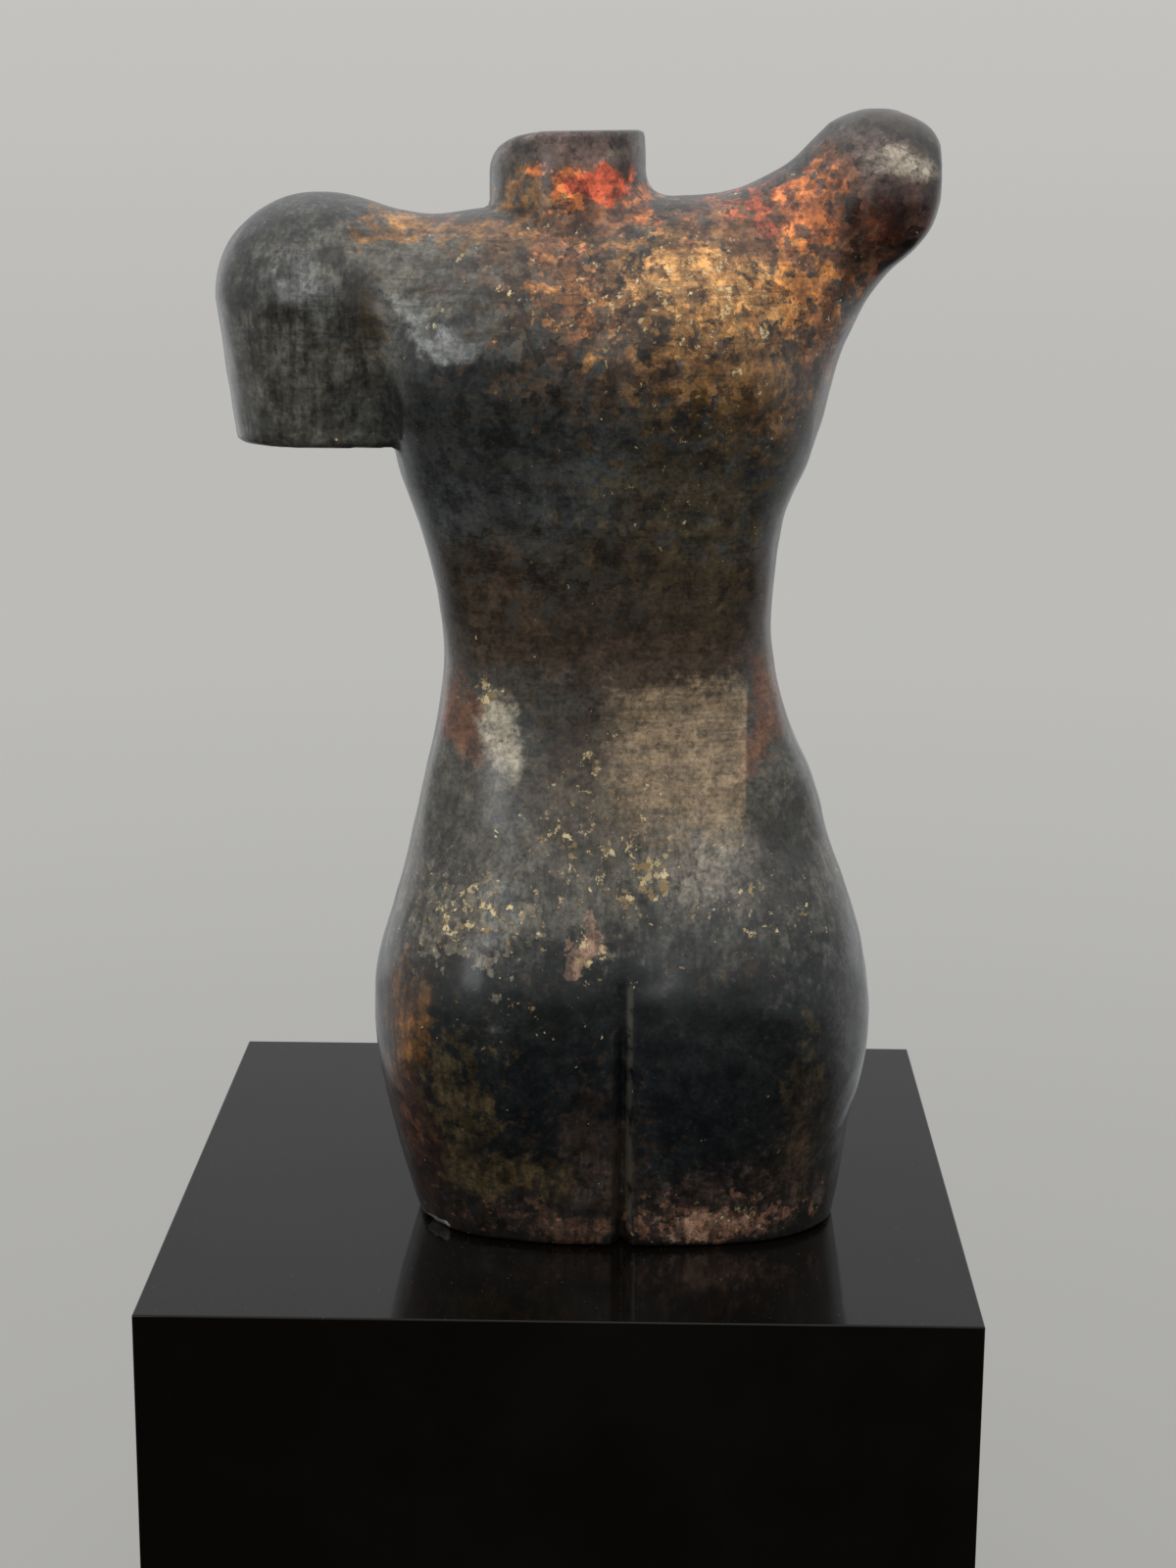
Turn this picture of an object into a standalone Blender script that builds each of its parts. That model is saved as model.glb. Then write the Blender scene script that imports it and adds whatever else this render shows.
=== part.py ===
"""A cast resin torso of a woman, without head or forearms, standing on a polished box plinth.

Metres, +Z up. The origin is the middle of the plinth's underside. The figure's chest faces -Y and its back +Y,
so its left arm, which hangs, is on the +X side, and its right arm, which is raised, on the -X side.
"""

import bmesh
import bpy
import numpy as np

# Driving sizes, in metres
FIGURE_HEIGHT = 0.690  # from the sawn base to the top of the raised shoulder
FIGURE_ACROSS = -0.035  # the figure's midline from the plinth's middle, towards the raised arm
FIGURE_BACK = 0.065  # the figure's side line from the plinth's middle, towards its back
PLINTH_WIDTH = 0.500
PLINTH_DEPTH = 0.500
PLINTH_HEIGHT = 0.500
PLINTH_BOARD = 0.018  # thickness of the plinth's five boards, open underneath
PLINTH_ARRIS = 0.0012  # width of the small bevel on its outer edges
STANDING_GAP = 0.0003  # between the figure's base and the plinth's top

# The figure is laid out in parts, hundredths of its own height. X runs to its left, Y to its back, Z up.
PART = FIGURE_HEIGHT / 100
NET_CELL = 1.15  # size of the net's cells, in parts
TRIANGLES = 9000  # about how many triangles the thinned figure keeps

# The trunk from the thighs to the root of the neck:
# height, reach to the left, reach to the right, reach behind, reach before
TRUNK = np.array(
    [
        (-6, 16.9, 18.2, 9.8, 10.2),
        (0, 18.6, 19.7, 10.9, 11.2),
        (9, 21.1, 21.1, 12.0, 12.4),
        (18, 22.4, 22.5, 12.8, 13.2),
        (24, 22.2, 22.0, 12.7, 13.4),
        (30, 20.6, 20.3, 11.6, 13.2),
        (36, 19.2, 18.2, 10.0, 12.8),
        (41.5, 18.0, 16.6, 8.8, 12.4),
        (46, 16.9, 14.6, 8.1, 12.0),
        (53, 16.2, 12.8, 7.9, 11.5),
        (59, 16.9, 12.7, 8.6, 11.4),
        (64, 18.1, 13.6, 9.6, 11.7),
        (70.5, 20.3, 15.3, 10.8, 12.0),
        (77, 20.6, 16.2, 11.4, 11.2),
        (84, 18.0, 12.0, 10.2, 8.8),
        (90, 12.0, 5.0, 7.4, 6.6),
    ]
)
TRUNK_TOP = 89
ARM_CUT = 71.4  # height of the hanging arm's flat end
NECK_CUT = 98.1  # height of the neck's flat end
RIM = 0.3  # rounding of the cut ends' rims


def ramp(value, low, high):
    """Rises smoothly from 0 at low to 1 at high."""
    t = np.clip((value - low) / (high - low), 0, 1)
    return t * t * (3 - 2 * t)


def reach(height, column):
    """The trunk's reach in a column of TRUNK at any height: a smooth cubic through the rows."""
    rows = TRUNK[:, 0]
    values = TRUNK[:, column]
    slopes = np.gradient(values, rows)
    at = np.clip(height, rows[0], rows[-1])
    below = np.clip(np.searchsorted(rows, at, side="right") - 1, 0, len(rows) - 2)
    span = rows[below + 1] - rows[below]
    t = (at - rows[below]) / span
    start = (1 + 2 * t) * (1 - t) ** 2 * values[below] + t * (1 - t) ** 2 * span * slopes[below]
    end = t**2 * (3 - 2 * t) * values[below + 1] + t**2 * (t - 1) * span * slopes[below + 1]
    return start + end


def trunk(x, y, z):
    """Distance to the trunk: at each height an oval through the four reaches, squarer at the waist."""
    left, right = reach(z, 1), reach(z, 2)
    middle, half = (left - right) / 2, (left + right) / 2
    deep = np.where(y > 0, reach(z, 3), reach(z, 4))
    n = 2.6 + 0.6 * ramp(z, 36, 46) * ramp(-z, -76, -64)
    across = np.abs(x - middle) / half
    depth = np.abs(y) / deep
    rho = (across**n + depth**n + 1e-9) ** (1 / n)
    steepness = rho ** (1 - n) * np.hypot(across ** (n - 1) / half, depth ** (n - 1) / deep)
    return (rho - 1) / np.maximum(steepness, 0.02)


def ellipsoid(x, y, z, centre, radii, lean=0.0):
    """Distance to an ellipsoid whose upright axis leans towards +X by that angle in degrees."""
    c, s = np.cos(np.radians(lean)), np.sin(np.radians(lean))
    dx, dy, dz = x - centre[0], y - centre[1], z - centre[2]
    a = (dx * c - dz * s) / radii[0]
    b = dy / radii[1]
    d = (dx * s + dz * c) / radii[2]
    near = np.sqrt(a**2 + b**2 + d**2 + 1e-9)
    steepness = np.sqrt((a / radii[0]) ** 2 + (b / radii[1]) ** 2 + (d / radii[2]) ** 2 + 1e-9)
    return near * (near - 1) / steepness


def limb(x, y, z, start, end, start_radius, end_radius, flat=0.95):
    """Distance to a round-ended limb between two points; flat is its depth as a share of its width."""
    a, b = np.array(start, float), np.array(end, float)
    run = b - a
    px, py, pz = x - a[0], (y - a[1]) / flat, z - a[2]
    run[1] /= flat
    t = np.clip((px * run[0] + py * run[1] + pz * run[2]) / (run @ run), 0, 1)
    off = np.sqrt((px - t * run[0]) ** 2 + (py - t * run[1]) ** 2 + (pz - t * run[2]) ** 2)
    return (off - start_radius - t * (end_radius - start_radius)) * min(1.0, flat)


def merge(a, b, blend):
    """Both bodies as one, with a fillet about that wide where they meet."""
    h = np.maximum(blend - np.abs(a - b), 0) / blend
    return np.minimum(a, b) - h * h * blend / 4


def trim(body, x, y, z, at, facing, edge):
    """The body cut flat at a point, without what lies on the facing side; edge is the rim's rounding."""
    n = np.array(facing, float)
    n /= np.linalg.norm(n)
    plane = (x - at[0]) * n[0] + (y - at[1]) * n[1] + (z - at[2]) * n[2]
    return -merge(-body, -plane, edge)


def form(x, y, z):
    """The whole figure as one smooth field: below zero inside, above zero outside."""
    body = trim(trunk(x, y, z), x, y, z, (0, 0, TRUNK_TOP), (0, 0, 1), 5)
    # The buttocks and the shoulder blades
    body = merge(body, ellipsoid(x, y, z, (10.0, 5.2, 20.5), (10.6, 9.6, 14.0), 3), 4)
    body = merge(body, ellipsoid(x, y, z, (-10.0, 5.2, 20.5), (10.6, 9.6, 14.0), -3), 4)
    body = merge(body, ellipsoid(x, y, z, (12.5, 5.6, 80.5), (8.0, 6.6, 8.5), 14), 6)
    body = merge(body, ellipsoid(x, y, z, (-4.5, 5.8, 81.0), (8.0, 6.6, 8.5), -18), 6)
    # The line of the shoulders, the flank under the raised arm, and that arm's stump
    body = merge(body, limb(x, y, z, (20.5, 1.0, 83.6), (-11.5, 1.0, 86.1), 7.0, 7.0), 4)
    body = merge(body, limb(x, y, z, (-9.4, 0.5, 73.5), (-12.8, 0.5, 83.5), 6.6, 6.2, 1.0), 4)
    raised = limb(x, y, z, (-11.5, 0.5, 85.2), (-20.4, 0.0, 92.8), 5.8, 7.3)
    raised = trim(raised, x, y, z, (-26.5, 0, 94.5), (-0.95, -0.2, -0.25), 2.2)
    body = merge(body, raised, 4)
    # The hanging arm's stump, cut flat underneath, with a crease beside the trunk that fades upwards
    hanging = limb(x, y, z, (27.1, 0.2, 83.6), (27.1, -0.2, 66.0), 8.85, 6.6)
    inner = limb(x, y, z, (22.0, 0.2, 81.0), (21.5, -0.2, 66.0), 7.2, 6.4)
    hanging = trim(merge(hanging, inner, 3), x, y, z, (27, 0, ARM_CUT), (0, 0, -1), RIM)
    body = merge(body, hanging, 0.8 + 3.2 * ramp(z, ARM_CUT + 1, ARM_CUT + 15))
    # The neck's stump, its rim worn down on the left
    neck = limb(x, y, z, (5.2, 1.2, 84.0), (5.2, -1.0, 104.0), 6.7, 6.4, 1.05)
    neck = trim(neck, x, y, z, (5, 0, NECK_CUT), (0.02, 0, 1), RIM)
    neck = trim(neck, x, y, z, (10.6, 0, NECK_CUT - 0.8), (0.55, 0, 0.83), 3 * RIM)
    body = merge(body, neck, 0.7 + 2.0 * ramp(-x, -3, 1))
    # The breasts and the rounded belly
    body = merge(body, ellipsoid(x, y, z, (11.2, -8.6, 72.0), (7.8, 7.4, 8.0), 8), 4)
    body = merge(body, ellipsoid(x, y, z, (-5.8, -8.6, 73.5), (7.8, 7.4, 8.2), -10), 4)
    body = merge(body, ellipsoid(x, y, z, (0.6, -5.4, 34.0), (12.0, 8.6, 15.0), 0), 6)
    # The cleft behind, a shallower one between the thighs before, and the sawn base
    valley = np.maximum(0, 1 - np.abs(x + 0.2) / 2.4) ** 1.3
    behind = 3.4 * ramp(-z, -28, -8)
    before = 1.6 * ramp(-z, -12, -2)
    body = body + np.where(y > 0, behind, before) * valley
    return trim(body, x, y, z, (0, 0, 0), (0, 0, -1), RIM)


def facing_of(points):
    """The form's outward direction at each point."""
    step = 0.03
    ends = [form(*(points + step * side)) - form(*(points - step * side)) for side in np.eye(3)[:, :, None]]
    slope = np.array(ends)
    return slope / np.maximum(np.linalg.norm(slope, axis=0), 1e-9)


def crossing(start, step, first, second):
    """Where the form's surface crosses each grid edge, found by narrowing the edge down."""
    low, high = np.zeros(len(first)), np.ones(len(first))
    for _ in range(5):
        t = low + (high - low) * np.clip(first / (first - second), 0.1, 0.9)
        value = form(*(start + step * t))
        same = (value < 0) == (first < 0)
        low, first = np.where(same, t, low), np.where(same, value, first)
        high, second = np.where(same, high, t), np.where(same, second, value)
    return start + step * (low + (high - low) * first / (first - second))


def surface_net(low, high, cell):
    """Closed quads round the form: one point in each grid cell that its surface passes through, set where the
    planes of the surface's crossings meet, and one quad for each grid edge that the surface crosses."""
    axes = [np.arange(start, end + cell, cell) for start, end in zip(low, high)]
    value = form(*np.meshgrid(*axes, indexing="ij"))
    cells = tuple(size - 1 for size in value.shape)
    count = np.zeros(cells)
    total = np.zeros(cells + (3,))
    planes = np.zeros(cells + (3, 3))
    pull = np.zeros(cells + (3,))
    rings = []
    for axis in range(3):
        step = np.eye(3, dtype=int)[axis]
        across = [k for k in range(3) if k != axis]
        inner = [slice(1, -1)] * 3
        inner[axis] = slice(None)
        outer = value[tuple(inner)] < 0
        changed = np.moveaxis(np.diff(np.moveaxis(outer, axis, 0), axis=0), 0, axis)
        at = np.argwhere(changed) + 1 - step
        first, second = value[tuple(at.T)], value[tuple((at + step).T)]
        start = np.array([axes[k][at[:, k]] for k in range(3)])
        points = crossing(start, cell * step[:, None], first, second)
        facing = facing_of(points)
        ring = []
        for i, j in ((1, 1), (0, 1), (0, 0), (1, 0)):
            key = at.copy()
            key[:, across[0]] -= i
            key[:, across[1]] -= j
            key = tuple(key.T)
            np.add.at(count, key, 1)
            np.add.at(total, key, points.T)
            np.add.at(planes, key, facing.T[:, :, None] * facing.T[:, None, :])
            np.add.at(pull, key, facing.T * (facing * points).sum(0)[:, None])
            ring.append(key)
        turned = (first < 0) if axis != 1 else (first >= 0)
        rings.append((ring, turned))
    crossed = count > 0
    number = np.full(cells, -1)
    number[crossed] = np.arange(crossed.sum())
    mean = total[crossed] / count[crossed][:, None]
    held = 0.03
    points = np.linalg.solve(planes[crossed] + held * np.eye(3), (pull[crossed] + held * mean)[..., None])[..., 0]
    corner = np.array([axes[k][np.argwhere(crossed)[:, k]] for k in range(3)]).T
    points = np.clip(points, corner, corner + cell)
    quads = []
    for ring, turned in rings:
        quad = np.array([number[key] for key in ring]).T
        quads.append(np.where(turned[:, None], quad, quad[:, ::-1]))
    return points, np.concatenate(quads)


def material(name, colour, roughness):
    made = bpy.data.materials.new(name)
    made.use_nodes = True
    shader = made.node_tree.nodes["Principled BSDF"]
    shader.inputs["Base Color"].default_value = (*colour, 1)
    shader.inputs["Roughness"].default_value = roughness
    return made


def place(name, mesh, look):
    made = bpy.data.objects.new(name, mesh)
    bpy.context.scene.collection.objects.link(made)
    mesh.materials.append(look)
    return made


def make_figure():
    points, quads = surface_net((-32, -22, -4), (42, 20, 104), NET_CELL)
    points[:, 2] = np.maximum(points[:, 2], 0)
    mesh = bpy.data.meshes.new("torso")
    mesh.from_pydata((points * PART).tolist(), [], quads.tolist())
    mesh.shade_smooth()
    figure = place("torso", mesh, material("patinated resin", (0.07, 0.065, 0.055), 0.3))
    figure.location = (FIGURE_ACROSS, FIGURE_BACK, PLINTH_HEIGHT + STANDING_GAP)
    thin = figure.modifiers.new("thin", "DECIMATE")
    thin.ratio = TRIANGLES / (2 * len(quads))
    thin.use_collapse_triangulate = True
    return figure


def make_plinth():
    """A box of five boards, open underneath, with a small bevel on its outer edges."""
    mesh = bpy.data.meshes.new("plinth")
    box = bmesh.new()
    bmesh.ops.create_cube(box, size=1)
    bmesh.ops.scale(box, vec=(PLINTH_WIDTH, PLINTH_DEPTH, PLINTH_HEIGHT), verts=box.verts)
    bmesh.ops.translate(box, vec=(0, 0, PLINTH_HEIGHT / 2), verts=box.verts)
    bmesh.ops.bevel(
        box, geom=box.edges[:], offset=PLINTH_ARRIS, offset_type="OFFSET", segments=1, profile=0.5, affect="EDGES"
    )
    under = min(box.faces, key=lambda face: face.calc_center_median().z)
    bmesh.ops.inset_region(box, faces=[under], thickness=PLINTH_BOARD - PLINTH_ARRIS, use_even_offset=True)
    inside = bmesh.ops.extrude_discrete_faces(box, faces=[under])["faces"][0]
    bmesh.ops.translate(box, vec=(0, 0, PLINTH_HEIGHT - PLINTH_BOARD), verts=inside.verts)
    box.to_mesh(mesh)
    box.free()
    return place("plinth", mesh, material("polished black lacquer", (0.012, 0.010, 0.009), 0.12))


def main():
    for old in list(bpy.data.objects):
        bpy.data.objects.remove(old)
    make_plinth()
    make_figure()


main()
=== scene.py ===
"""Dresses the resin torso and its box plinth.

The torso's skin is worked out from the same kind of field as its solid, a few radii closer to the photograph, at a
finer net, with the slight waves and nicks of a hand-finished cast. Its patina is painted in ragged clouds placed in
the figure's own parts, and among them are painted highlights and reflections of the room. The plinth is five
lacquered boards with softened edges. Metres, +Z up, the figure's back towards +Y.
"""

import bpy
import numpy as np
from mathutils import Matrix, Vector


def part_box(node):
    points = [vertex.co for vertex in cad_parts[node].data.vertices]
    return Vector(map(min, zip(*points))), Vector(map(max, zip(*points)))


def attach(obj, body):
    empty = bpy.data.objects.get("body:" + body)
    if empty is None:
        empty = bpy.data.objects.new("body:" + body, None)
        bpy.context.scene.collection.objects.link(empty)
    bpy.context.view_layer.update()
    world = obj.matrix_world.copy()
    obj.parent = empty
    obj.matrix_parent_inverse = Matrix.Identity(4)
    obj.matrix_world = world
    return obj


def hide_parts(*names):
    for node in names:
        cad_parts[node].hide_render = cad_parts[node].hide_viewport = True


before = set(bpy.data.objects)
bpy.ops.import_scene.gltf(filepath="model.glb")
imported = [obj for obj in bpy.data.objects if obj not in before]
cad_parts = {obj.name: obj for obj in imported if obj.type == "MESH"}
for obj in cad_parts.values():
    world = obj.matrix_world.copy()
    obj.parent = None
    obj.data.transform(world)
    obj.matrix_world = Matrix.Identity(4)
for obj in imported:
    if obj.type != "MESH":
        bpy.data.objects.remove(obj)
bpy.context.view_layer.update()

# The figure's place and scale: parts are hundredths of its own height, X to its left, Y to its back, Z up
PART = 0.0069
FIGURE_FOOT = (-0.035, 0.065, float(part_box("torso")[0][2]))

# The fine net, in parts: its room's corners and its cells' size; the cells along the side of a block, how many blocks
# away the surface is where a block is skipped, and the value that the form is given there; and how firmly a point is
# held to the middle of its cell's crossings
NET_LOW = (-31.5, -20.5, -2)
NET_HIGH = (39.5, 18, 102.5)
NET_CELL = 0.43
BLOCK = 4
BLOCK_MARGIN = 2.2
FAR = 9.0
NET_HOLD = 0.03

# The plinth's boards: their thickness, the rounding of the box's outer edges and of its inner corners, and the points
# on each rounded quarter
PLINTH_BOARD = 0.018
PLINTH_ARRIS = 0.0012
PLINTH_SHARP = 0.0001
ARC_POINTS = 5

# The trunk from the thighs to the root of the neck:
# height, reach to the left, reach to the right, reach behind, reach before
TRUNK = np.array(
    [
        (-6, 16.9, 18.2, 9.8, 10.2),
        (0, 18.6, 19.7, 10.9, 11.2),
        (9, 21.1, 21.1, 12.0, 12.4),
        (18, 22.4, 22.5, 12.8, 13.2),
        (24, 22.2, 22.0, 12.7, 13.4),
        (30, 20.6, 20.6, 11.6, 13.2),
        (36, 19.2, 18.6, 10.0, 12.8),
        (41.5, 18.0, 17.0, 8.8, 12.4),
        (46, 16.9, 15.0, 8.1, 12.0),
        (53, 16.2, 13.2, 7.9, 11.5),
        (59, 16.9, 13.1, 8.6, 11.4),
        (64, 18.1, 13.6, 9.6, 11.7),
        (70.5, 20.3, 15.3, 10.8, 12.0),
        (77, 20.6, 16.2, 11.4, 11.2),
        (84, 18.0, 12.0, 10.2, 8.8),
        (90, 12.0, 5.0, 7.4, 6.6),
    ]
)
TRUNK_TOP = 89
ARM_CUT = 71.4
NECK_CUT = 98.1
RIM = 0.7  # rounding of the cut ends' rims
CUT_NEAR = 0.3  # how near a cut's height a level face counts as the cut

# The chips, each by its place and reach, and how deep they go
CHIPS = [
    ((17.0, 6.2, 0.2), (1.7, 2.2, 0.6)),  # in the base's rim
    ((9.3, 6.2, 98.0), (1.5, 1.2, 0.9)),  # in the neck's rim
]
CHIP_DEPTH = 0.30

FLOOR_DROP = 0.0005  # how far the floor lies below the plinth's foot, so that the two don't fight

# The photograph's camera: its place, its heading, how far it looks down and its roll in degrees, and its lens
CAMERA_PLACE = (-0.0437, 1.7615, 1.1845)
CAMERA_HEADING = 181.05
CAMERA_DOWN = 13.44
CAMERA_ROLL = 0.36
CAMERA_LENS = 63.97


def ramp(value, low, high):
    """Rises smoothly from 0 at low to 1 at high: 3t^2 - 2t^3."""
    t = np.clip((value - low) / (high - low), 0, 1)
    return t * t * (3 - 2 * t)


def reach(height, column):
    """The trunk's reach in a column of TRUNK at any height: a cubic between rows with each row's mean slope."""
    rows = TRUNK[:, 0]
    values = TRUNK[:, column]
    slopes = np.gradient(values, rows)
    at = np.clip(height, rows[0], rows[-1])
    below = np.clip(np.searchsorted(rows, at, side="right") - 1, 0, len(rows) - 2)
    span = rows[below + 1] - rows[below]
    t = (at - rows[below]) / span
    start = (1 + 2 * t) * (1 - t) ** 2 * values[below] + t * (1 - t) ** 2 * span * slopes[below]
    end = t**2 * (3 - 2 * t) * values[below + 1] + t**2 * (t - 1) * span * slopes[below + 1]
    return start + end


def trunk(x, y, z):
    """Distance to the trunk: at each height the oval |x/half|^n + |y/deep|^n = 1, squarer at the waist."""
    left, right = reach(z, 1), reach(z, 2)
    middle, half = (left - right) / 2, (left + right) / 2
    deep = np.where(y > 0, reach(z, 3), reach(z, 4))
    n = 2.6 + 0.6 * ramp(z, 36, 46) * ramp(-z, -76, -64)
    across = np.abs(x - middle) / half
    depth = np.abs(y) / deep
    rho = (across**n + depth**n + 1e-9) ** (1 / n)
    steepness = rho ** (1 - n) * np.hypot(across ** (n - 1) / half, depth ** (n - 1) / deep)
    return (rho - 1) / np.maximum(steepness, 0.02)


def ellipsoid(x, y, z, centre, radii, lean=0.0):
    """Distance to an ellipsoid whose upright axis leans towards +X: its radius there times (radius - 1) by slope."""
    c, s = np.cos(np.radians(lean)), np.sin(np.radians(lean))
    dx, dy, dz = x - centre[0], y - centre[1], z - centre[2]
    a = (dx * c - dz * s) / radii[0]
    b = dy / radii[1]
    d = (dx * s + dz * c) / radii[2]
    near = np.sqrt(a**2 + b**2 + d**2 + 1e-9)
    steepness = np.sqrt((a / radii[0]) ** 2 + (b / radii[1]) ** 2 + (d / radii[2]) ** 2 + 1e-9)
    return near * (near - 1) / steepness


def limb(x, y, z, start, end, start_radius, end_radius, flat=0.95):
    """Distance to a round-ended limb: how far a point lies from the line start to end, less the radius there."""
    a, b = np.array(start, float), np.array(end, float)
    run = b - a
    px, py, pz = x - a[0], (y - a[1]) / flat, z - a[2]
    run[1] /= flat
    t = np.clip((px * run[0] + py * run[1] + pz * run[2]) / (run @ run), 0, 1)
    off = np.sqrt((px - t * run[0]) ** 2 + (py - t * run[1]) ** 2 + (pz - t * run[2]) ** 2)
    return (off - start_radius - t * (end_radius - start_radius)) * min(1.0, flat)


def merge(a, b, blend):
    """Both bodies as one: the lesser distance, less h^2 blend / 4 where they are within blend of each other."""
    h = np.maximum(blend - np.abs(a - b), 0) / blend
    return np.minimum(a, b) - h * h * blend / 4


def trim(body, x, y, z, at, facing, edge):
    """The body cut flat at a point, without what lies on the facing side; edge is the rim's rounding."""
    n = np.array(facing, float)
    n /= np.linalg.norm(n)
    plane = (x - at[0]) * n[0] + (y - at[1]) * n[1] + (z - at[2]) * n[2]
    return -merge(-body, -plane, edge)


def form(x, y, z):
    """The whole figure as one smooth field: below zero inside, above zero outside."""
    body = trim(trunk(x, y, z), x, y, z, (0, 0, TRUNK_TOP), (0, 0, 1), 5)
    # The buttocks and the shoulder blades
    body = merge(body, ellipsoid(x, y, z, (10.0, 5.0, 20.5), (10.6, 9.2, 15.5), 3), 4)
    body = merge(body, ellipsoid(x, y, z, (-10.0, 5.0, 20.5), (10.6, 9.2, 15.5), -3), 4)
    body = merge(body, ellipsoid(x, y, z, (12.5, 5.6, 80.5), (8.0, 6.6, 8.5), 14), 6)
    body = merge(body, ellipsoid(x, y, z, (-4.5, 5.8, 81.0), (8.0, 6.6, 8.5), -18), 6)
    # The line of the shoulders, the flank under the raised arm, and that arm's stump
    body = merge(body, limb(x, y, z, (20.5, 1.0, 83.6), (-11.5, 1.0, 86.1), 7.0, 7.0), 4)
    body = merge(body, limb(x, y, z, (-9.3, 0.5, 74.5), (-12.7, 0.5, 83.0), 6.6, 6.3, 1.0), 4)
    raised = limb(x, y, z, (-11.5, 0.5, 86.3), (-21.2, 0.0, 92.8), 4.9, 7.35)
    raised = trim(raised, x, y, z, (-26.5, 0, 94.5), (-0.95, -0.2, -0.25), 2.2)
    raised = trim(raised, x, y, z, (-23.9, 0, 87.55), (-0.65, 0, -0.76), 1.5)
    body = merge(body, raised, 4)
    # The hanging arm's stump, cut flat underneath, with a crease beside the trunk that fades upwards
    hanging = limb(x, y, z, (27.0, 0.2, 83.9), (27.1, -0.2, 66.0), 8.95, 6.6)
    inner = limb(x, y, z, (22.0, 0.2, 81.0), (21.5, -0.2, 66.0), 7.2, 6.4)
    hanging = trim(merge(hanging, inner, 3), x, y, z, (27, 0, ARM_CUT), (0, 0, -1), RIM)
    body = merge(body, hanging, 0.8 + 3.2 * ramp(z, ARM_CUT + 1, ARM_CUT + 15))
    # The neck's stump, its rim worn down on the left
    neck = limb(x, y, z, (5.35, 1.2, 84.0), (5.35, -1.0, 104.0), 6.85, 6.55, 1.05)
    neck = trim(neck, x, y, z, (5, 0, NECK_CUT), (0.02, 0, 1), RIM)
    neck = trim(neck, x, y, z, (10.6, 0, NECK_CUT - 0.8), (0.55, 0, 0.83), 1.5)
    body = merge(body, neck, 0.7 + 2.0 * ramp(-x, -3, 1))
    # The breasts and the rounded belly
    body = merge(body, ellipsoid(x, y, z, (11.2, -8.6, 72.0), (7.8, 7.4, 8.0), 8), 4)
    body = merge(body, ellipsoid(x, y, z, (-5.8, -8.6, 73.5), (7.8, 7.4, 8.2), -10), 4)
    body = merge(body, ellipsoid(x, y, z, (0.6, -5.4, 34.0), (12.0, 8.6, 15.0), 0), 6)
    # The cleft behind, a shallower one between the thighs before, and the sawn base
    valley = np.maximum(0, 1 - np.abs(x + 0.2) / 1.05) ** 1.2
    behind = 1.9 * ramp(-z, -27.5, -12)
    before = 1.6 * ramp(-z, -12, -2)
    body = body + np.where(y > 0, behind, before) * valley
    return trim(body, x, y, z, (0, 0, 0), (0, 0, -1), RIM)


def facing_of(points):
    """The form's outward direction at each point: its slope along X, Y and Z, made one long."""
    step = 0.03
    ends = [form(*(points + step * side)) - form(*(points - step * side)) for side in np.eye(3)[:, :, None]]
    slope = np.array(ends)
    return slope / np.maximum(np.linalg.norm(slope, axis=0), 1e-9)


def field_near(axes, cell):
    """The form at every grid point near its surface, and a far value of the right sign elsewhere."""
    coarse = [axis[::BLOCK] for axis in axes]
    rough = form(*np.meshgrid(*coarse, indexing="ij"))
    nearest = np.minimum.reduce([np.abs(rough[i : i - 1 or None, j : j - 1 or None, k : k - 1 or None])
                                 for i in (0, 1) for j in (0, 1) for k in (0, 1)])
    near = nearest < BLOCK_MARGIN * cell * BLOCK
    sign = np.where(rough[:-1, :-1, :-1] < 0, -FAR, FAR)
    for axis in range(3):
        near = np.repeat(near, BLOCK, axis)
        sign = np.repeat(sign, BLOCK, axis)
    edge = [(0, 1)] * 3
    near, value = np.pad(near, edge, mode="edge"), np.pad(sign, edge, mode="edge")
    at = np.nonzero(near)
    value[at] = form(*[axes[k][at[k]] for k in range(3)])
    return value


def crossing(start, step, first, second):
    """Where the form's surface crosses each grid edge, found by narrowing the edge down."""
    low, high = np.zeros(len(first)), np.ones(len(first))
    for _ in range(4):
        t = low + (high - low) * np.clip(first / (first - second), 0.1, 0.9)
        value = form(*(start + step * t))
        same = (value < 0) == (first < 0)
        low, first = np.where(same, t, low), np.where(same, value, first)
        high, second = np.where(same, high, t), np.where(same, second, value)
    return start + step * (low + (high - low) * first / (first - second))


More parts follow.
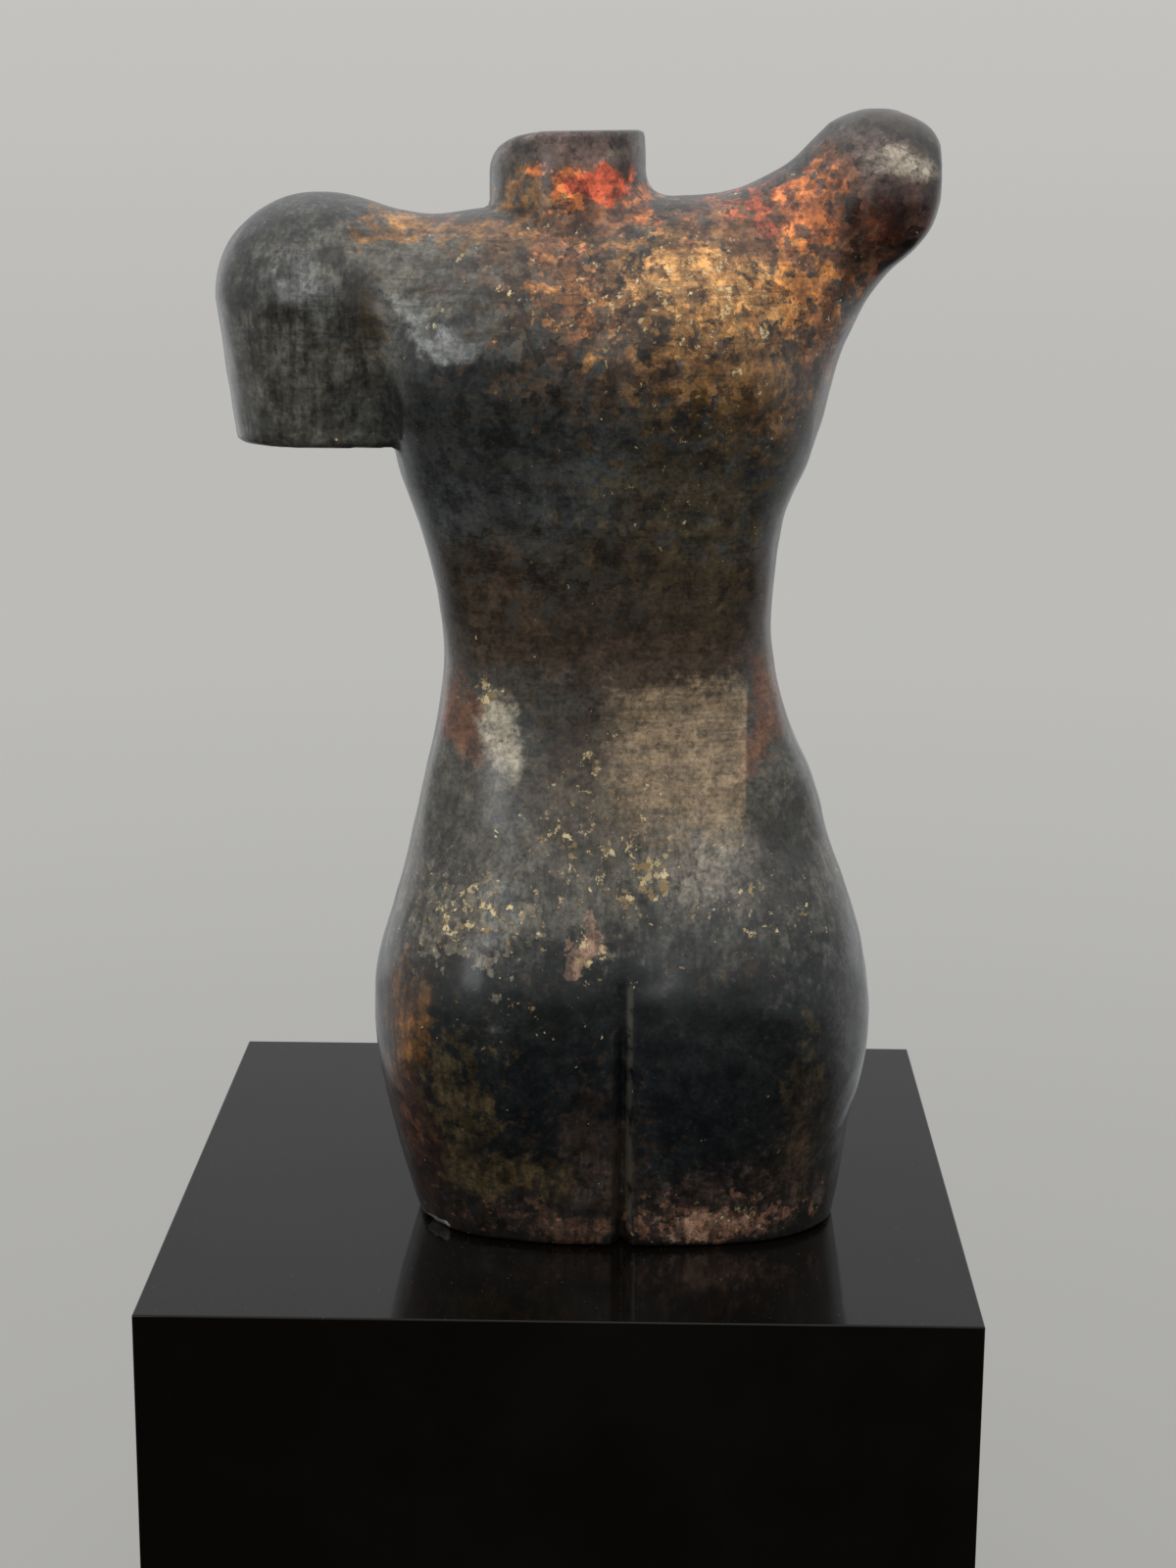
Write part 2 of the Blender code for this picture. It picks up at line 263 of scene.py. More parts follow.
def surface_net(low, high, cell):
    """Closed quads round the form: one point in each grid cell that its surface passes through, set where the
    planes of the surface's crossings meet, and one quad for each grid edge that the surface crosses."""
    sizes = [int(np.ceil((end - start) / cell / BLOCK)) * BLOCK + 1 for start, end in zip(low, high)]
    axes = [start + cell * np.arange(size) for start, size in zip(low, sizes)]
    value = field_near(axes, cell)
    cells = tuple(size - 1 for size in sizes)
    keys, places, normals, rings = [], [], [], []
    for axis in range(3):
        step = np.eye(3, dtype=int)[axis]
        across = [k for k in range(3) if k != axis]
        inner = [slice(1, -1)] * 3
        inner[axis] = slice(None)
        outer = value[tuple(inner)] < 0
        changed = np.moveaxis(np.diff(np.moveaxis(outer, axis, 0), axis=0), 0, axis)
        at = np.argwhere(changed) + 1 - step
        first, second = value[tuple(at.T)], value[tuple((at + step).T)]
        start = np.array([axes[k][at[:, k]] for k in range(3)])
        points = crossing(start, cell * step[:, None], first, second)
        facing = facing_of(points)
        ring = []
        for i, j in ((1, 1), (0, 1), (0, 0), (1, 0)):
            key = at.copy()
            key[:, across[0]] -= i
            key[:, across[1]] -= j
            key = np.ravel_multi_index(tuple(key.T), cells)
            ring.append(key)
            keys.append(key)
            places.append(points.T)
            normals.append(facing.T)
        turned = (first < 0) if axis != 1 else (first >= 0)
        rings.append((np.array(ring).T, turned))
    used, number = np.unique(np.concatenate(keys), return_inverse=True)
    place, normal = np.concatenate(places), np.concatenate(normals)
    count = np.bincount(number)
    pull = normal * (normal * place).sum(1)[:, None]
    total = np.array([np.bincount(number, place[:, k]) for k in range(3)]).T
    right = np.array([np.bincount(number, pull[:, k]) for k in range(3)]).T
    left = np.array([[np.bincount(number, normal[:, j] * normal[:, k]) for k in range(3)] for j in range(3)])
    mean = total / count[:, None]
    left = np.moveaxis(left, -1, 0) + NET_HOLD * np.eye(3)
    points = np.linalg.solve(left, (right + NET_HOLD * mean)[..., None])[..., 0]
    corner = np.array([axes[k][index] for k, index in enumerate(np.unravel_index(used, cells))]).T
    points = np.clip(points, corner, corner + cell)
    quads = []
    for ring, turned in rings:
        quad = np.searchsorted(used, ring)
        quads.append(np.where(turned[:, None], quad, quad[:, ::-1]))
    return points, np.concatenate(quads)


def waves(points, length, count, seed):
    """A gently uneven height, about -1 to 1: the mean of plane waves of random heading and about that length."""
    pick = np.random.default_rng(seed)
    heading = pick.normal(size=(count, 3))
    heading /= np.linalg.norm(heading, axis=1)[:, None]
    pace = 2 * np.pi / (length * pick.uniform(0.7, 1.4, count))
    shift = pick.uniform(0, 2 * np.pi, count)
    total = np.zeros(len(points))
    for k in range(count):
        total += np.sin(points @ heading[k] * pace[k] + shift[k])
    return total / np.sqrt(count)


def nick(points, centre, radii):
    """A small chipped hollow: a bowl one deep at its centre that ends at those radii, with a ragged rim."""
    off = (points - np.array(centre)) / np.array(radii)
    away = np.sqrt((off**2).sum(1)) + 0.18 * waves(points, 1.4, 6, 5)
    return np.clip(1 - away, 0, 1) ** 0.6


def ring_quads(rings, around):
    """The quads between each ring of points and the next, with each quad's ring and place on it: the points of ring r
    are numbered from r * around."""
    ring, place = np.meshgrid(np.arange(rings - 1), np.arange(around), indexing="ij")
    first, second, beside = ring * around, (ring + 1) * around, (place + 1) % around
    quads = np.stack([first + place, first + beside, second + beside, second + place], -1)
    return quads.reshape(-1, 4), ring.ravel(), place.ravel()


def make_mesh(name, points, faces):
    """A smooth-shaded mesh object from arrays of points and of equal-sided faces."""
    mesh = bpy.data.meshes.new(name)
    sides = faces.shape[1]
    mesh.vertices.add(len(points))
    mesh.vertices.foreach_set("co", np.ascontiguousarray(points, dtype=np.float32).ravel())
    mesh.loops.add(faces.size)
    mesh.loops.foreach_set("vertex_index", faces.ravel().astype(np.int32))
    mesh.polygons.add(len(faces))
    mesh.polygons.foreach_set("loop_start", (np.arange(len(faces)) * sides).astype(np.int32))
    mesh.update(calc_edges=True)
    mesh.validate()
    mesh.shade_smooth()
    made = bpy.data.objects.new(name, mesh)
    bpy.context.scene.collection.objects.link(made)
    return made


def make_torso():
    """The figure's skin: the form's net, pushed in or out along its own facing by the hand-finishing's relief."""
    points, quads = surface_net(NET_LOW, NET_HIGH, NET_CELL)
    facing = facing_of(points.T).T
    relief = 0.045 * waves(points, 9, 24, 1) + 0.020 * waves(points, 3.6, 30, 2)
    for place, radii in CHIPS:
        relief -= CHIP_DEPTH * nick(points, place, radii)
    # The flat cut ends stay flat
    height = points[:, 2]
    at_a_cut = (height < CUT_NEAR) | (height > NECK_CUT - CUT_NEAR) | (np.abs(height - ARM_CUT) < CUT_NEAR)
    relief = np.where(at_a_cut & (np.abs(facing[:, 2]) > 0.97), 0.0, relief)
    points = points + facing * relief[:, None]
    points[:, 2] = np.maximum(points[:, 2], 0)
    points = points * PART + np.array(FIGURE_FOOT)
    low, high = (np.array(corner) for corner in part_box("torso"))
    return make_mesh("figure_skin", np.clip(points, low, high), quads)


def make_plinth():
    """Five boards as one box, open underneath: a profile (half width, corner radius, height), from under the lid
    down the inside, across the rim, up the outer wall and over the lid, its arrises quarter circles, carried round a
    square whose corners are arcs of that radius; the first and last rings are filled."""
    low, high = (np.array(corner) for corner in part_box("plinth"))
    half, arris, sharp = high[0], PLINTH_ARRIS, PLINTH_SHARP
    tilt = np.radians(np.linspace(-90, 0, ARC_POINTS))
    straight = np.full(ARC_POINTS, half - arris)
    inner = half - PLINTH_BOARD
    width = np.concatenate([[inner - sharp] * 2, straight, straight])
    corner = np.concatenate([[sharp] * 2, arris * np.cos(tilt), arris * np.cos(tilt[::-1])])
    corner = np.maximum(corner, sharp)
    level = np.concatenate([
        [high[2] - PLINTH_BOARD, low[2]],
        low[2] + arris + arris * np.sin(tilt),
        high[2] - arris - arris * np.sin(tilt[::-1]),
    ])
    turn = np.radians(np.linspace(0, 90, ARC_POINTS))
    arc = (turn[None, :] + np.radians([0, 90, 180, 270])[:, None]).ravel()
    side_x = np.repeat([1, -1, -1, 1], ARC_POINTS)
    side_y = np.repeat([1, 1, -1, -1], ARC_POINTS)
    points = np.stack([
        width[:, None] * side_x + corner[:, None] * np.cos(arc),
        width[:, None] * side_y + corner[:, None] * np.sin(arc),
        level[:, None] + np.zeros(len(arc)),
    ], -1)
    rings, around = points.shape[:2]
    walls, ring, place = ring_quads(rings, around)
    lid = np.arange((rings - 1) * around, rings * around)
    ceiling = np.arange(around)[::-1]
    mesh = bpy.data.meshes.new("plinth_boards")
    mesh.from_pydata(points.reshape(-1, 3).tolist(), [], walls.tolist() + [lid.tolist(), ceiling.tolist()])
    # Only the arrises and the corners' arcs are shaded smooth; the inside and the rim show the bare board
    outer = 1 + ARC_POINTS  # the ring below the flat outer wall
    on_an_arc = place % ARC_POINTS != ARC_POINTS - 1
    smooth = (ring >= 2) & ((ring != outer) | on_an_arc)
    mesh.polygons.foreach_set("use_smooth", np.append(smooth, [False, False]))
    mesh.polygons.foreach_set("material_index", np.append(ring < 2, [False, True]).astype(np.int32))
    mesh.update()
    made = bpy.data.objects.new("plinth_boards", mesh)
    bpy.context.scene.collection.objects.link(made)
    return made


# Node helpers


def add(tree, kind, inputs=None, **settings):
    """A node with its settings and its inputs, each a socket to link or a plain value."""
    node = tree.nodes.new(kind)
    for key, value in settings.items():
        setattr(node, key, value)
    for key, value in (inputs or {}).items():
        if isinstance(value, bpy.types.NodeSocket):
            tree.links.new(value, node.inputs[key])
        else:
            node.inputs[key].default_value = value
    return node


def reckon(tree, operation, a, b=0.0, c=0.0):
    """One step of arithmetic on one, two or three values."""
    return add(tree, "ShaderNodeMath", {0: a, 1: b, 2: c}, operation=operation).outputs[0]


def times(tree, value, *factors):
    """The product of several values."""
    for factor in factors:
        value = reckon(tree, "MULTIPLY", value, factor)
    return value


def vector_of(tree, operation, a, b=(0, 0, 0), c=(0, 0, 0)):
    """One step of arithmetic on vectors."""
    return add(tree, "ShaderNodeVectorMath", {0: a, 1: b, 2: c}, operation=operation).outputs[0]


def rise(tree, value, low, high, start=0.0, end=1.0):
    """Goes smoothly from start to end as the value goes from low to high."""
    node = add(
        tree,
        "ShaderNodeMapRange",
        {"Value": value, "From Min": low, "From Max": high, "To Min": start, "To Max": end},
        interpolation_type="SMOOTHSTEP",
    )
    return node.outputs["Result"]


def cloud(tree, place, scale, detail, roughness):
    """Noise at that scale, as a value and as a colour."""
    node = add(
        tree, "ShaderNodeTexNoise", {"Vector": place, "Scale": scale, "Detail": detail, "Roughness": roughness}
    )
    return node.outputs["Fac"], node.outputs["Color"]


def over(tree, under, colour, mask, blend="MIX"):
    """A colour laid over another where the mask is."""
    if not isinstance(colour, bpy.types.NodeSocket):
        colour = (*colour, 1)
    node = add(tree, "ShaderNodeMix", {0: mask, 6: under, 7: colour}, data_type="RGBA", blend_type=blend)
    return node.outputs[2]


def grey(tree, value):
    """A value as a grey colour."""
    return add(tree, "ShaderNodeCombineXYZ", {0: value, 1: value, 2: value}).outputs[0]


def group(name, inputs, outputs):
    """A new node group with named inputs (name, kind, default) and outputs (name, kind)."""
    tree = bpy.data.node_groups.new(name, "ShaderNodeTree")
    for label, kind, default in inputs:
        socket = tree.interface.new_socket(label, in_out="INPUT", socket_type="NodeSocket" + kind)
        socket.default_value = default
    for label, kind in outputs:
        tree.interface.new_socket(label, in_out="OUTPUT", socket_type="NodeSocket" + kind)
    return tree, tree.nodes.new("NodeGroupInput").outputs, tree.nodes.new("NodeGroupOutput").inputs


def patch_group(name, leaning):
    """A ragged patch: 1 inside an ellipsoid and 0 outside, its edge and inside broken up by the rag. Where it leans,
    Lean and Turn hold the sine and cosine of its lean."""
    tree, given, out = group(
        name,
        [
            ("Place", "Vector", (0, 0, 0)),
            ("Centre", "Vector", (0, 0, 0)),
            ("Lean", "Vector", (0, 0, 0)),
            ("Turn", "Vector", (1, 1, 1)),
            ("Reach", "Vector", (1, 1, 1)),
            ("Rag", "Float", 0.0),
            ("Outside", "Float", 1.3),
            ("Inside", "Float", 0.7),
            ("Strength", "Float", 1.0),
        ],
        [("Mask", "Float")],
    )
    off = vector_of(tree, "SUBTRACT", given["Place"], given["Centre"])
    if leaning:
        turned = vector_of(tree, "CROSS_PRODUCT", off, given["Lean"])
        off = vector_of(tree, "MULTIPLY_ADD", off, given["Turn"], turned)
    off = vector_of(tree, "DIVIDE", off, given["Reach"])
    away = add(tree, "ShaderNodeVectorMath", {0: off}, operation="LENGTH").outputs["Value"]
    away = reckon(tree, "SUBTRACT", away, given["Rag"])
    tree.links.new(rise(tree, away, given["Outside"], given["Inside"], 0.0, given["Strength"]), out["Mask"])
    return tree


def wear_group():
    """The unevenness of a hand-rubbed coat: a slow wave, a mottle, a fine grain and dark specks."""
    tree, given, out = group(
        "hand-rubbed coat",
        [("Place", "Vector", (0, 0, 0))],
        [("Wave", "Float"), ("Mottle", "Float"), ("Grain", "Float"), ("Specks", "Float")],
    )
    place = given["Place"]
    tree.links.new(cloud(tree, place, 0.13, 2, 0.5)[0], out["Wave"])
    tree.links.new(cloud(tree, place, 0.42, 5, 0.68)[0], out["Mottle"])
    tree.links.new(cloud(tree, place, 2.4, 4, 0.65)[0], out["Grain"])
    speck, _ = cloud(tree, place, 1.15, 5, 0.78)
    tree.links.new(rise(tree, speck, 0.585, 0.66), out["Specks"])
    return tree


# The patina's colours, and those of its painted highlights
INK = (0.0085, 0.0105, 0.0105)
BLUE_INK = (0.0050, 0.0068, 0.0095)
SLATE = (0.066, 0.068, 0.061)
NIGHT = (0.0420, 0.0460, 0.0440)
ASH = (0.140, 0.128, 0.100)
UMBER = (0.040, 0.029, 0.018)
SHADE = (0.0130, 0.0085, 0.0058)
BARK = (0.090, 0.055, 0.032)
MAUVE = (0.150, 0.092, 0.074)
RUST = (0.200, 0.085, 0.042)
TAN = (0.390, 0.280, 0.165)
# A painted highlight's colour: the warm pale of window light mirrored in the varnish
HIGHLIGHT_CREAM = (0.520, 0.460, 0.350)
HONEY = (0.160, 0.072, 0.016)
# A painted highlight's colour: the cool grey of window light mirrored in the varnish
HIGHLIGHT_GREY = (0.260, 0.268, 0.255)
OXBLOOD = (0.070, 0.019, 0.010)
SAND = (0.210, 0.185, 0.135)
# A painted highlight's colour: a warm pale reflection in the varnish
HIGHLIGHT_BUFF = (0.370, 0.320, 0.250)
OCHRE = (0.300, 0.145, 0.045)
GOLD = (0.620, 0.305, 0.095)
AMBER = (0.600, 0.235, 0.058)
ORANGE = (0.800, 0.235, 0.060)
SCARLET = (0.720, 0.120, 0.050)
MAROON = (0.062, 0.027, 0.019)
OLIVE = (0.085, 0.060, 0.025)
COPPER = (0.240, 0.120, 0.072)
ROSE = (0.400, 0.240, 0.160)
PLASTER = (0.640, 0.600, 0.520)

# The patina's clouds, among them painted highlights, laid one over the other: colour; side, 1 the back, -1 the front,
# 0 all round; place across and up; reach across and up; lean to the left in degrees; softness; tear, how far the rag
# breaks it up; strength
CLOUDS = [
    (SLATE, 0, 2, 86, 42, 12, 0, 0.30, 0.3, 1.0),
    (NIGHT, 0, 4, 72, 34, 8.5, 0, 0.25, 0.3, 0.95),
    (UMBER, 0, 0, 57, 34, 6.5, 0, 0.35, 0.3, 0.9),
    (SLATE, 0, 1, 46, 34, 8, 0, 0.35, 0.3, 0.8),
    (ASH, 0, 1, 37, 34, 9, 0, 0.35, 0.5, 0.8),
    (INK, 0, 0, 17, 36, 12.5, 0, 0.25, 0.5, 0.97),
    (SHADE, 0, 0, 1, 36, 6.5, 0, 0.35, 0.6, 0.9),
    (SLATE, 0, 29, 79, 9, 16, 0, 0.25, 0.3, 0.85),
    # The hanging arm and the left shoulder
    (ASH, 0, 30, 76, 7, 9, 0, 0.40, 0.6, 0.50),
    (UMBER, 1, 23.5, 77.5, 2.6, 3.6, 8, 0.30, 1.1, 0.20),
    # A painted highlight on the left shoulder, standing for a window's reflection
    (HIGHLIGHT_GREY, 1, 27.5, 85.6, 3.4, 2.9, -10, 0.45, 0.20, 1.0),
    (ASH, 1, 21.6, 79.5, 2.2, 4.5, 0, 0.50, 0.5, 0.60),
    (ASH, 1, 17, 87.5, 13, 4.5, -8, 0.35, 0.5, 0.75),
    (OCHRE, 1, 20.2, 90.0, 4.0, 1.7, -14, 0.20, 0.9, 0.85),
    (GOLD, 1, 19.2, 90.0, 2.2, 1.4, -14, 0.30, 0.6, 0.80),
    (RUST, 1, 13.5, 90.2, 8.0, 1.5, -8, 0.40, 0.5, 0.80),
    (OCHRE, 1, 13.0, 89.3, 8.0, 1.6, -6, 0.20, 1.2, 0.70),
    (OLIVE, 1, 21.7, 83.6, 1.6, 3.0, 0, 0.35, 0.7, 0.9),
    (INK, 1, 12, 75, 12, 3.6, -6, 0.40, 0.5, 0.45),
    # The upper back's warm field
    (BARK, 1, -4, 84.5, 15, 8.0, -8, 0.30, 0.6, 0.95),
    (RUST, 1, -13, 91.0, 8, 4.0, -20, 0.40, 0.4, 0.80),
    (BARK, 1, 7, 86.5, 8, 5.5, 0, 0.35, 1.0, 0.75),
    (BARK, 1, 1, 77.5, 10, 3.5, 0, 0.35, 1.3, 0.60),
    (BARK, 1, -14, 78, 6, 8.0, 15, 0.35, 0.9, 0.80),
    (OCHRE, 1, -9, 85.5, 11, 6.5, -12, 0.14, 1.4, 0.80),
    (GOLD, 1, -5.2, 87.0, 5.0, 2.6, -10, 0.14, 1.3, 0.85),
    (GOLD, 1, -10.5, 84.2, 6.0, 2.8, -20, 0.14, 1.5, 0.70),
    (AMBER, 1, -15.2, 84.6, 4.2, 5.0, 10, 0.14, 1.0, 0.95),
    (RUST, 1, 5.0, 87.0, 3.4, 4.4, 0, 0.14, 1.6, 0.75),
    (AMBER, 1, 4.6, 85.6, 2.6, 3.4, 0, 0.14, 1.9, 0.45),
    (OCHRE, 1, -9.0, 78.5, 9.0, 4.5, -10, 0.14, 1.5, 0.42),
    (RUST, 1, -9.0, 91.0, 6.5, 2.6, -10, 0.30, 1.0, 0.75),
    (SCARLET, 1, -11.2, 91.7, 3.6, 1.8, -15, 0.14, 1.3, 0.50),
    (ORANGE, 1, -15.6, 91.2, 3.4, 2.6, -30, 0.20, 0.65, 0.90),
    (MAROON, 1, -13.5, 91.0, 1.6, 1.6, -30, 0.45, 1.1, 0.65),
    # The neck
    (MAUVE, 1, 5, 97.0, 10, 3.0, 0, 0.35, 0.25, 0.9),
    (RUST, 1, 3.6, 92.6, 6.5, 3.0, 0, 0.40, 0.4, 0.80),
    (SLATE, 1, 9.0, 96.2, 2.2, 1.8, 0, 0.50, 0.25, 0.6),
    # A painted highlight on the neck
    (HIGHLIGHT_BUFF, 1, 1.4, 96.9, 2.6, 0.9, 35, 0.50, 0.2, 0.35),
    (OCHRE, 1, 8.5, 92.3, 3.6, 2.4, 0, 0.35, 0.9, 0.8),
    (ORANGE, 1, 5.4, 93.4, 2.8, 2.2, 0, 0.14, 0.8, 0.95),
    (SCARLET, 1, 2.6, 94.0, 3.6, 1.9, 8, 0.20, 0.5, 0.95),
    (ORANGE, 1, -1.3, 93.0, 1.2, 1.6, 0, 0.40, 0.9, 0.70),
    (UMBER, 1, -3.6, 94.5, 2.0, 5.0, 0, 0.35, 0.3, 0.9),
    # The raised arm
    (SLATE, 1, -18.5, 97.0, 6.5, 3.8, -40, 0.35, 0.15, 0.95),
    (MAUVE, 1, -21.0, 96.0, 4.6, 3.0, -20, 0.50, 0.2, 0.85),
    (MAUVE, 1, -22.0, 93.5, 3.0, 2.0, 0, 0.60, 0.3, 0.55),
    # A painted highlight on the raised arm
    (HIGHLIGHT_CREAM, 1, -23.0, 96.0, 2.8, 1.6, -15, 0.65, 0.15, 0.75),
    (RUST, 1, -17.6, 95.6, 3.4, 1.6, -40, 0.40, 0.5, 0.85),
    (ORANGE, 1, -17.0, 94.6, 1.8, 1.2, -40, 0.30, 1.0, 0.60),
    (MAROON, 1, -24.2, 90.6, 4.4, 4.6, 20, 0.35, 0.3, 0.90),
    (OXBLOOD, 1, -20.5, 89.5, 2.4, 4.4, 30, 0.40, 0.6, 0.80),
    (RUST, 1, -19.0, 86.5, 3.0, 4.5, 30, 0.30, 0.9, 0.75),
    (RUST, 1, -17.5, 79, 2.2, 7.0, 15, 0.45, 0.8, 0.75),
    # The waist and the loins
    (BARK, 1, 11.0, 57.0, 4.0, 5.0, 0, 0.50, 0.7, 0.60),
    (RUST, 1, 14.4, 48.0, 2.4, 5.5, 8, 0.35, 0.4, 0.85),
    (RUST, 1, -12.8, 49.5, 2.6, 7.0, -14, 0.35, 0.4, 0.85),
    (BARK, 1, -3, 53, 15, 3.4, 0, 0.50, 0.7, 0.60),
    (BARK, 1, 2.0, 43.5, 6.5, 8.0, 0, 0.50, 0.8, 0.45),
    # A painted highlight on the left of the loins, standing for a window's reflection
    (HIGHLIGHT_GREY, 1, 10.4, 44.0, 2.0, 6.0, 4, 0.50, 0.3, 0.30),
    # A painted highlight: the pale strip of a window's reflection on the loins
    (HIGHLIGHT_CREAM, 1, 10.8, 46.6, 1.9, 3.8, 6, 0.40, 0.30, 1.0),
    (UMBER, 1, 4.0, 46.5, 2.4, 4.0, 0, 0.45, 0.7, 0.60),
    (INK, 1, 15.6, 37, 2.6, 5.5, 8, 0.45, 0.8, 0.50),
    (INK, 1, -15.5, 37, 3.4, 7.0, -14, 0.40, 0.7, 0.70),
    # A painted highlight on the top of the left buttock, standing for a ceiling light's reflection
    (HIGHLIGHT_GREY, 1, 10.8, 31.5, 1.3, 3.6, 0, 0.30, 0.25, 0.50),
    (SAND, 1, 14.5, 30, 5.0, 3.6, 0, 0.14, 1.5, 0.85),
    (ROSE, 1, 3.3, 28.6, 1.0, 2.8, 0, 0.20, 1.3, 0.75),
    # A painted highlight: a soft pale reflection on the top of the right buttock
    (HIGHLIGHT_BUFF, 1, -7.2, 35.8, 4.6, 3.8, 0, 0.60, 0.3, 0.50),
    (SLATE, 1, -7.5, 30, 6.0, 3.0, 0, 0.40, 0.7, 0.70),
    # The hips and the thighs
    (BLUE_INK, 1, 0.5, 13.5, 11.0, 6.5, 0, 0.45, 0.7, 0.95),
    (HONEY, 1, 19.2, 20, 2.8, 6.0, 4, 0.40, 0.6, 0.85),
    (OXBLOOD, 1, 18.0, 9.5, 3.0, 7.5, 10, 0.45, 0.5, 0.85),
    (AMBER, 1, 19.2, 18.0, 0.9, 4.5, 4, 0.40, 1.2, 0.28),
    (SHADE, 1, 16.0, 5.0, 3.4, 4.5, 10, 0.40, 0.9, 0.70),
    (RUST, 1, 18.6, 11.5, 0.9, 5.0, 8, 0.50, 0.8, 0.55),
    (OLIVE, 1, 13.8, 13.0, 3.4, 7.5, 6, 0.35, 1.3, 0.75),
    (OLIVE, 1, 10.0, 6.5, 5.0, 2.4, 0, 0.35, 0.6, 0.90),
    (OLIVE, 1, -16.8, 13, 2.4, 9.0, -4, 0.35, 1.2, 0.45),
    (OLIVE, 1, -5, 68, 8, 7, 0, 0.35, 1.3, 0.55),
    (BARK, 1, -16.4, 8, 1.2, 5.0, -4, 0.50, 0.8, 0.70),
    # Painted highlights: grey strips along the edges of both hips, where the varnish would mirror the room at a
    # glancing angle
    (SLATE, 1, -21.3, 23, 2.6, 10.0, 4, 0.40, 0.5, 0.80),
    (SLATE, 1, 22.0, 27, 1.8, 6.0, -4, 0.40, 0.5, 0.70),
    (MAUVE, 1, -9, 4.0, 8.0, 3.0, 0, 0.40, 1.2, 0.35),
    (BARK, 1, 2.5, 9.0, 4.0, 7.0, 0, 0.50, 1.3, 0.40),
    (COPPER, 1, -8.8, 2.8, 6.0, 1.7, 0, 0.14, 2.0, 0.75),
    (ROSE, 1, -7.8, 2.8, 3.0, 1.2, 0, 0.14, 2.2, 0.60),
    (COPPER, 1, 5.0, 2.2, 5.5, 1.5, 0, 0.30, 1.4, 0.28),
    # The front, in keeping
    (BARK, -1, 3, 83, 18, 9, 6, 0.35, 0.7, 0.90),
    (RUST, -1, -2, 88, 11, 4, 0, 0.35, 0.9, 0.60),
    (OCHRE, -1, 2, 82, 14, 6, 8, 0.14, 1.5, 0.60),
    (GOLD, -1, 8, 81, 6, 4, 12, 0.14, 1.5, 0.75),
    (SCARLET, -1, -3, 89, 4, 2.2, 0, 0.14, 1.4, 0.65),
    (AMBER, -1, -8, 82, 5.5, 5, -12, 0.14, 1.5, 0.65),
    (RUST, -1, -11, 58, 3.5, 8, -8, 0.45, 0.7, 0.60),
    (BARK, -1, 2, 56, 12, 4, 0, 0.50, 0.8, 0.50),
    (TAN, -1, 4, 43, 8, 5, 0, 0.45, 0.8, 0.50),
    (SAND, -1, -7, 36, 4, 5, 0, 0.40, 0.7, 0.60),
    (OLIVE, -1, -13, 13, 4.5, 8, -6, 0.35, 1.3, 0.70),
    (HONEY, -1, 17, 19, 3.5, 7, 6, 0.45, 0.7, 0.80),
    (OXBLOOD, -1, 15, 9, 4, 6, 6, 0.45, 0.7, 0.70),
    (COPPER, -1, 5, 2.6, 9, 1.8, 0, 0.14, 1.9, 0.60),
]

# How far behind or before the figure's middle the clouds of one side are centred, their reach in depth, the reach of
# those that go all round, and how far the clouds' edges wander in slow bends and in fine ones
CLOUD_OFFSET = 14.0
CLOUD_DEPTH = 15.0
ROUND_DEPTH = 80.0
SLOW_DRIFT = 5.0
FINE_DRIFT = 3.4

# The painted highlight under the left shoulder, a pale crescent standing for a window's reflection: its circle's
# middle, across and up, and radius
HIGHLIGHT_CRESCENT_PLACE = (11.9, 86.8)
HIGHLIGHT_CRESCENT_RADIUS = 7.3

# Where gold leaf still holds: side, place across and up, reach across and up, share kept
LEAF = [
    (1, -7.0, 85.0, 14.0, 8.0, 0.50),
    (1, 9.0, 88.5, 14.0, 3.5, 0.36),
    (1, -6.0, 75.0, 12.0, 7.0, 0.34),
    (1, -4.0, 67.0, 7.0, 6.0, 0.36),
    (1, 12.0, 84.0, 9.0, 5.0, 0.30),
    (1, 12.0, 50.3, 1.2, 2.0, 1.05),
    (1, 2.4, 45.0, 2.2, 2.6, 0.66),
    (1, 3.0, 38.0, 9.0, 9.0, 0.50),
    (1, -1.8, 34.4, 2.2, 3.4, 0.86),
    (1, 13.0, 31.5, 8.0, 5.5, 0.56),
    (1, -11.0, 32.0, 9.0, 6.0, 0.42),
    (1, 3.0, 28.8, 2.0, 5.0, 0.60),
    (1, 9.0, 24.0, 10.0, 5.0, 0.26),
    (1, -8.0, 3.0, 10.0, 3.0, 0.36),
    (-1, 5.0, 80.0, 14.0, 8.0, 0.46),
    (-1, -2.0, 40.0, 12.0, 10.0, 0.42),
]


